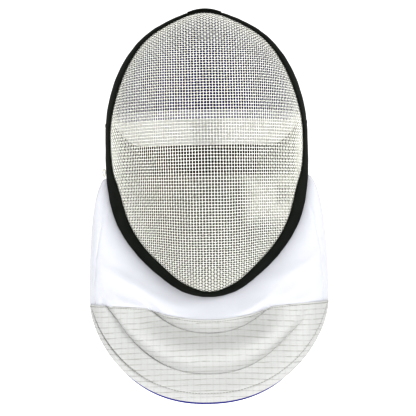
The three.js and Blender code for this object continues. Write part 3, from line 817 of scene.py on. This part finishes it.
def fold_out(turn, level):
    """How far the bib stands out from its curve, in millimetres."""
    out = BELLY_SHARE * BIB_FRONT_REACH * np.sin(np.pi * level) ** 2 * np.cos(np.radians(turn)) ** 2
    for fold in FOLDS:
        valley, reach = fold_valley(fold, turn)
        away = level - valley
        share = np.clip(1 - np.abs(away) / np.where(away < 0, fold["above"], fold["below"]), 0, 1)
        profile = 0.5 * np.sin(np.pi / 2 * share) ** 2 + 0.5 * share ** 1.8
        out = out - fold["depth"] * BIB_FRONT_REACH * reach * profile
    return out


def bib_points(turn, run, level, points, length):
    """Grid of the bib's points at each column's shares of the drop."""
    total = length[:, -1:]
    columns = range(len(turn))
    at = np.stack([[np.interp(level[i] * total[i, 0], length[i], points[i, :, k]) for i in columns]
                   for k in range(3)], -1)
    over = np.maximum(level - 1, 0)[..., None] * total[..., None]
    at = at + unit(points[:, -1] - points[:, -4])[:, None] * over
    spread = np.radians(turn)
    forward = np.stack([np.sin(spread), -np.cos(spread), 0 * spread], -1)[:, None]
    out = np.where(run[:, None] > 0, 0, fold_out(turn[:, None], np.minimum(level, 1)))
    at = at + forward * out[..., None]
    lean = np.clip((BIB_LEAN_FROM - at[..., 2]) / BIB_FRONT_DROP, 0, 1.5)
    at[..., 0] -= BIB_LEAN * lean ** 2 * np.minimum(level, 1)
    return at, out


def seam_shares(turn, points, length):
    """Share of the drop where the panel's upper seam lies in each column."""
    target = SEAM_SIDE_LEVEL - SEAM_DIP * np.exp(-(turn / SEAM_DIP_TURN) ** 2)
    shares = length / length[:, -1:]
    return np.array([np.interp(-target[i], -points[i, :, 2], shares[i]) for i in range(len(turn))])


# Soft pulls in the white cloth. turn and wide are in degrees, level, tall and slant in shares of the drop.
PULLS = table("turn level wide tall height slant",
              (-56, 0.56, 26, 0.07, 3.0, -0.55),
              (-66, 0.4, 22, 0.06, 2.2, -0.7),
              (-34, 0.22, 22, 0.05, 1.4, -0.3),
              (-44, 0.42, 20, 0.05, 1.8, -0.4),
              (48, 0.5, 26, 0.07, 2.6, 0.5),
              (66, 0.35, 22, 0.06, 2.0, 0.7),
              (36, 0.3, 18, 0.05, 1.4, 0.4))
SIDE_SEAM_TURN = 78.0
SIDE_SEAM_DEPTH = 1.3


def soft_relief(turn, level):
    """How far the pulls stand out and the side seams sink in, in millimetres."""
    relief = 0
    for pull in PULLS:
        along = (turn - pull["turn"]) / pull["wide"]
        across = (level - pull["level"] - pull["slant"] * (turn - pull["turn"]) / 90) / pull["tall"]
        relief = relief + pull["height"] * np.exp(-along ** 2 - across ** 2)
    corner = np.exp(-((np.abs(turn) - SIDE_SEAM_TURN) / 1.3) ** 2) * smooth(level, 0.03, 0.2)
    return relief - SIDE_SEAM_DEPTH * corner


def out_of_bib(grid):
    """Unit normals of a grid on the bib, away from the head."""
    outward = grid - np.array([0, BIB_BACK_EDGE, 0])
    outward[..., 2] = 0
    return grid_normals(grid, outward)


def bib_pieces():
    front = np.linspace(-90, 90, 241)
    runs = np.linspace(0, 1, 29)[1:]
    turn = np.concatenate([np.full(len(runs), -90.0), front, np.full(len(runs), 90.0)])
    run = np.concatenate([runs[::-1], np.zeros(len(front)), runs])
    points, length = bib_curves(turn, run)
    rows = 101
    level = np.repeat(np.linspace(0, 1, rows)[None], len(turn), 0)
    grid, _ = bib_points(turn, run, level, points, length)
    normal = out_of_bib(grid)
    seam = seam_shares(turn, points, length)
    seam = np.where(run > 0, 1.0, seam)
    hidden = smooth(level, seam[:, None] - 0.03, seam[:, None] + 0.02) * (run[:, None] == 0)
    relief = np.where(run[:, None] > 0, 0, soft_relief(turn[:, None], level)) * (1 - hidden)
    around = np.concatenate([[0], np.cumsum(np.linalg.norm(np.diff(grid[:, rows // 2], axis=0), axis=1))])
    cloth = np.stack([np.repeat(around[:, None], rows, 1), points[:, :1, 2] - level * length[:, -1:]], -1)
    half = BIB_WALL / 2
    drop = length[:, -1:]
    pressed = smooth(level, seam[:, None] + 0.01, seam[:, None] + 0.04) * smooth((1 - level) * drop, 1.5, 4.0)
    pressed = PRESSED * pressed * (run[:, None] == 0)
    top = grid + normal * (half + relief - pressed)[..., None]
    low = grid - normal * half
    shell = add_wall("bib_cloth", top, low, WHITE_CLOTH, cloth, node="bib", slot="white_cloth")

    lining_level = level.copy()
    proud = smooth(turn, -80, -60) * (1 - smooth(turn, 30, 60))
    lining_level[:, -1] = 1 + proud * LINING_PROUD / length[:, -1]
    lining, _ = bib_points(turn, run, lining_level, points, length)
    outer = half + GAP
    inner_side = lining - normal * (outer + LINING_WALL)
    outer_side = lining - normal * outer
    blue = add_wall("bib_lining_cloth", inner_side, outer_side, BLUE_LINING, cloth, node="bib_lining",
                    slot="lining_cloth")

    panel_rows = 121
    turn = np.linspace(-90, 90, 361)
    run = np.zeros(len(turn))
    points, length = bib_curves(turn, run)
    seam = seam_shares(turn, points, length)
    share = np.linspace(0, 1, panel_rows)[None]
    panel_level = seam[:, None] + (1 - seam)[:, None] * share
    panel, out = bib_points(turn, run, panel_level, points, length)
    n = out_of_bib(panel)
    drop = length[:, -1:]
    from_hem = (1 - panel_level) * drop
    left = 1 - smooth(turn, -45, -15)[:, None]
    stitched = (0.5 + 2.0 * left) * np.exp(-((from_hem - HEM_INSET) / 0.9) ** 2)
    folded = 0.25 * np.exp(-(panel_level - seam[:, None]) * drop / 2.5)
    for fold in FOLDS:
        valley, reach = fold_valley(fold, turn[:, None])
        away = (panel_level - valley) * drop
        deeper = 1 + 1.6 * (1 - smooth(turn, -36, -8)[:, None])
        stitched = stitched + CREASE * deeper * reach ** 0.5 * np.exp(-(away / 1.2) ** 2)
    deepest = GAP + PANEL_WALL + PRESSED - 0.5
    stitched = np.minimum(stitched, deepest) * smooth(from_hem, 0.5, 4.0)
    flat_z = np.stack([np.interp(panel_level[i] * drop[i, 0], length[i], points[i, :, 2])
                       for i in range(len(drop))])
    weave_place = np.stack([panel[..., 0], panel[..., 2] + LINE_FOLLOW * (out + flat_z - panel[..., 2])], -1)
    outer_face = panel + n * (half + GAP + PANEL_WALL - stitched + folded)[..., None]
    inner_face = panel + n * (half + GAP - np.minimum(stitched, PRESSED))[..., None]
    cloth_panel = add_wall("conductive_panel", outer_face, inner_face, CONDUCTIVE, weave_place,
                           node="bib_panel", slot="conductive_cloth")
    stitches(outer_face, n, from_hem, panel_level, seam, drop)


def line_on_grid(grid, normal, value, target):
    """Points and normals where a value that falls down each column meets a target."""
    found, ups = [], []
    for i in range(len(grid)):
        v = value[i]
        if not v.min() <= target <= v.max():
            continue
        order = np.argsort(v)
        found.append([np.interp(target, v[order], grid[i, order, k]) for k in range(3)])
        ups.append([np.interp(target, v[order], normal[i, order, k]) for k in range(3)])
    return np.array(found), unit(np.array(ups))


def stitch_row(path, normal, pitch, length, radius):
    """Short sewn stitches along a path, each a small tube that dips into the cloth at both ends."""
    run = np.concatenate([[0], np.cumsum(np.linalg.norm(np.diff(path, axis=0), axis=1))])
    tubes = []
    for start in np.arange(pitch, run[-1] - pitch, pitch):
        where = start + length * np.array([-0.5, -0.35, 0, 0.35, 0.5])
        points = np.stack([np.interp(where, run, path[:, k]) for k in range(3)], -1)
        up = unit(np.stack([np.interp(where, run, normal[:, k]) for k in range(3)], -1))
        rise = radius * np.array([-0.8, 0.1, 0.5, 0.1, -0.8])
        tubes.append(tube_points(points + up * rise[:, None], up, radius, 6))
    return tubes


def stitches(outer_face, normal, from_hem, level, seam, drop):
    hem_path, hem_up = line_on_grid(outer_face, normal, from_hem, HEM_INSET)
    below_seam = (level - seam[:, None]) * drop
    seam_path, seam_up = line_on_grid(outer_face, normal, below_seam, 1.8)
    tubes = stitch_row(hem_path, hem_up, pitch=3.1, length=2.2, radius=0.32)
    tubes += stitch_row(seam_path, seam_up, pitch=2.6, length=1.8, radius=0.3)
    points, faces = join_tubes(tubes)
    add_mesh("panel_stitches", points, faces, THREAD, slot="conductive_cloth")


bib_pieces()


# Tongue over the crown
def curve_through(knots, per_span):
    """Points of a smooth curve through knots, with its pace set by the knots' spacing."""
    knots = np.concatenate([2 * knots[:1] - knots[1:2], knots, 2 * knots[-1:] - knots[-2:-1]])
    pace = np.sqrt(np.linalg.norm(np.diff(knots, axis=0), axis=1))
    u = np.linspace(0, 1, per_span, endpoint=False)[:, None]
    spans = []
    for i in range(1, len(knots) - 2):
        before, start, end, after = knots[i - 1:i + 3]
        d0, d1, d2 = pace[i - 1:i + 2]
        leave = ((start - before) / d0 - (end - before) / (d0 + d1) + (end - start) / d1) * d1
        arrive = ((end - start) / d1 - (after - start) / (d1 + d2) + (after - end) / d2) * d1
        rise = end - start
        squared, cubed = 3 * rise - 2 * leave - arrive, leave + arrive - 2 * rise
        spans.append(start + leave * u + squared * u ** 2 + cubed * u ** 3)
    return np.concatenate(spans + [knots[-2:-1]])


def tongue():
    lift = TRIM_OUTER + SOFT_GAP + TONGUE_THICKNESS / 2
    insets = np.array([TONGUE_LAP, TONGUE_LAP / 2, 0])
    on_rim = face_offset(np.full(3, 90.0), share_inside_rim(np.full(3, 90.0), insets), lift)
    rim_top = on_rim[2]
    back = STRAP_REACH + STRAP_THICKNESS / 2 + SOFT_GAP + TONGUE_THICKNESS / 2
    tip = UPPER_STRAP_TOP + STRAP_RISE - UPPER_STRAP_HEIGHT
    fall = rim_top[2] - tip
    over = [(0, rim_top[1] + (back - rim_top[1]) * step["back"],
             rim_top[2] + TONGUE_CROWN * step["rise"] - fall * step["fall"]) for step in TONGUE_COURSE]
    levels = [UPPER_STRAP_TOP + STRAP_RISE + SOFT_GAP, tip, tip - (TONGUE_LENGTH - fall)]
    down = [(0, back, level) for level in levels]
    line = curve_through(np.concatenate([on_rim, over, down]), 24)
    half = TONGUE_WIDTH / 2
    rim_fall = face_point(90.0, 1.0)[2] - face_point(90 - math.degrees(half / FACE_HALF_WIDTH), 1.0)[2]
    beside = np.sin(np.linspace(-np.pi / 2, np.pi / 2, 31))
    along = np.linspace(0, 1, len(line))
    fade = 1 - smooth(along, 0.3, 0.6)
    blunt = np.clip(np.minimum(along / 0.004, (1 - along) / 0.035), 0, 1)
    reach = half * (0.55 + 0.45 * np.sqrt(1 - (1 - blunt) ** 2))
    middle = np.stack([reach[None] * beside[:, None],
                       np.repeat(line[None, :, 1], len(beside), 0),
                       line[None, :, 2] - rim_fall * (beside ** 2)[:, None] * fade[None]], -1)
    normal = grid_normals(middle, middle + np.array([0, FACE_DEPTH / 4, 0]))
    run = np.concatenate([[0], np.cumsum(np.linalg.norm(np.diff(line, axis=0), axis=1))])
    seam = 0.22 * np.exp(-((half - np.abs(middle[..., 0]) - TONGUE_SEAM_INSET) / 0.7) ** 2)
    outer = TONGUE_THICKNESS * (0.5 - TONGUE_SIDE_THINNING * beside ** 2)[:, None] - seam
    cloth = np.stack([middle[..., 0], np.repeat(run[None], len(beside), 0)], -1)
    add_wall("tongue", middle + normal * outer[..., None], middle - normal * TONGUE_THICKNESS / 2, TONGUE,
             cloth, node="back_tongue", slot="tongue_cover")
    rows = []
    for side in (-1, 1):
        x = side * (half - TONGUE_SEAM_INSET)
        i = int(np.argmin(np.abs(middle[:, 60, 0] - x)))
        path = middle[i] + normal[i] * outer[i][:, None]
        rows += stitch_row(path[4:-6], normal[i, 4:-6], pitch=3.6, length=2.6, radius=0.28)
    points, faces = join_tubes(rows)
    add_mesh("tongue_stitches", points, faces, DARK_THREAD, slot="tongue_cover")


tongue()


# Small loop at the side of the edging
def side_loop():
    bib_corner = np.array(CHIN_TO_SIDE - 90)
    _, to_rim = face_frame(bib_corner, np.array(1.0))
    bib_top = (face_point(bib_corner, 1.0) + to_rim * (TRIM_CAP + GAP + BIB_WALL / 2))[2]
    level = bib_top + LOOP_HEIGHT / 2 + SOFT_GAP + BIB_WALL
    foot = face_offset(rim_angle_at(np.array(level)), np.array(1.0), TRIM_OUTER)
    middle = np.array([-(foot[0] + LOOP_WIDTH / 2 + SOFT_GAP), foot[1], level])
    radius = LOOP_CORD / 2
    turn = np.linspace(0, 2 * np.pi, 49)
    wide, tall = LOOP_WIDTH / 2 - radius, LOOP_HEIGHT / 2 - radius
    ring = np.stack([wide * np.cos(turn), 0 * turn, tall * np.sin(turn)], -1)
    ring = middle + ring + np.stack([0 * turn, 0.1 * np.sin(3 * turn), 0 * turn], -1)
    points, faces = join_tubes([tube_points(ring, np.broadcast_to([0.0, -1.0, 0.0], ring.shape), radius, 12)])
    add_mesh("loop", points, faces, LOOP.material, node="side_loop", slot="clear_loop")


side_loop()


# Stage and lights, in metres
FLOOR_LEVEL = -0.45
FLOOR_HALF = 6
FLOOR_GLOW = 0.55
HORIZON = 1.2
OVERHEAD = 0.8
HORIZON_BAND = 0.18
OVERHEAD_FROM = 0.45
TONE = 0.7
LIGHTS = table("name place target size power",
               ("key", (1.0, -1.7, 0.8), (0, 0, -0.15), 0.7, 19),
               ("fill", (-1.2, -1.6, 0.0), (0, 0, -0.2), 1.2, 11))


def stage():
    """Pale floor, and studio air that is brightest at the horizon."""
    mesh = bpy.data.meshes.new("floor")
    corners = [(x * FLOOR_HALF, y * FLOOR_HALF, FLOOR_LEVEL) for x, y in ((-1, -1), (1, -1), (1, 1), (-1, 1))]
    mesh.from_pydata(corners, [], [(0, 1, 2, 3)])
    floor = bpy.data.objects.new("floor", mesh)
    bpy.context.collection.objects.link(floor)
    pale = Material("pale_floor", 0.9, Specular_IOR_Level=0.1)
    pale.shader.inputs["Base Color"].default_value = (0.92, 0.92, 0.92, 1)
    pale.shader.inputs["Emission Color"].default_value = (1, 1, 1, 1)
    pale.shader.inputs["Emission Strength"].default_value = FLOOR_GLOW
    mesh.materials.append(pale.material)
    world = bpy.data.worlds.new("studio")
    world.use_nodes = True
    tree = world.node_tree
    where = tree.nodes.new("ShaderNodeTexCoord")
    parts = tree.nodes.new("ShaderNodeSeparateXYZ")
    height = tree.nodes.new("ShaderNodeMath")
    height.operation = "ABSOLUTE"
    level = tree.nodes.new("ShaderNodeMapRange")
    level.inputs[1].default_value = HORIZON_BAND
    level.inputs[2].default_value = OVERHEAD_FROM
    level.inputs[3].default_value = HORIZON
    level.inputs[4].default_value = OVERHEAD
    tree.links.new(where.outputs["Generated"], parts.inputs[0])
    tree.links.new(parts.outputs[2], height.inputs[0])
    tree.links.new(height.outputs[0], level.inputs[0])
    tree.links.new(level.outputs[0], tree.nodes["Background"].inputs[1])
    tree.nodes["Background"].inputs[0].default_value = (1, 1, 1, 1)
    bpy.context.scene.world = world
    bpy.context.scene.view_settings.view_transform = "Standard"
    bpy.context.scene.view_settings.gamma = TONE


def area_light(name, place, target, size, power):
    light = bpy.data.lights.new(name, "AREA")
    light.size = size
    light.energy = power
    lamp = bpy.data.objects.new(name, light)
    lamp.location = place
    lamp.rotation_euler = (Vector(target) - Vector(place)).to_track_quat("-Z", "Y").to_euler()
    bpy.context.collection.objects.link(lamp)


stage()
for light in LIGHTS:
    area_light(**light)

# Camera, in millimetres. The photograph is 416 pixels square, at 1.04 mm a pixel on the rim's plane.
CAMERA_DISTANCE = 1659.0
PHOTO_WIDTH = 433.3
CAMERA_LEVEL = -46.4
CAMERA_ASIDE = 0.1
CAMERA_ROLL = 1.1
CAMERA_AZIMUTH = 0.4
camera_data = bpy.data.cameras.new("camera")
camera_data.sensor_width = 36
camera_data.lens = 36 * CAMERA_DISTANCE / PHOTO_WIDTH
camera = bpy.data.objects.new("camera", camera_data)
azimuth = math.radians(CAMERA_AZIMUTH)
where = np.array([CAMERA_ASIDE * math.cos(azimuth) - CAMERA_DISTANCE * math.sin(azimuth),
                  -CAMERA_DISTANCE * math.cos(azimuth) - CAMERA_ASIDE * math.sin(azimuth), CAMERA_LEVEL])
camera.location = ((where - SEAT) * MM).tolist()
camera.rotation_euler = (math.pi / 2, math.radians(CAMERA_ROLL), -azimuth)
bpy.context.collection.objects.link(camera)
bpy.context.scene.camera = camera
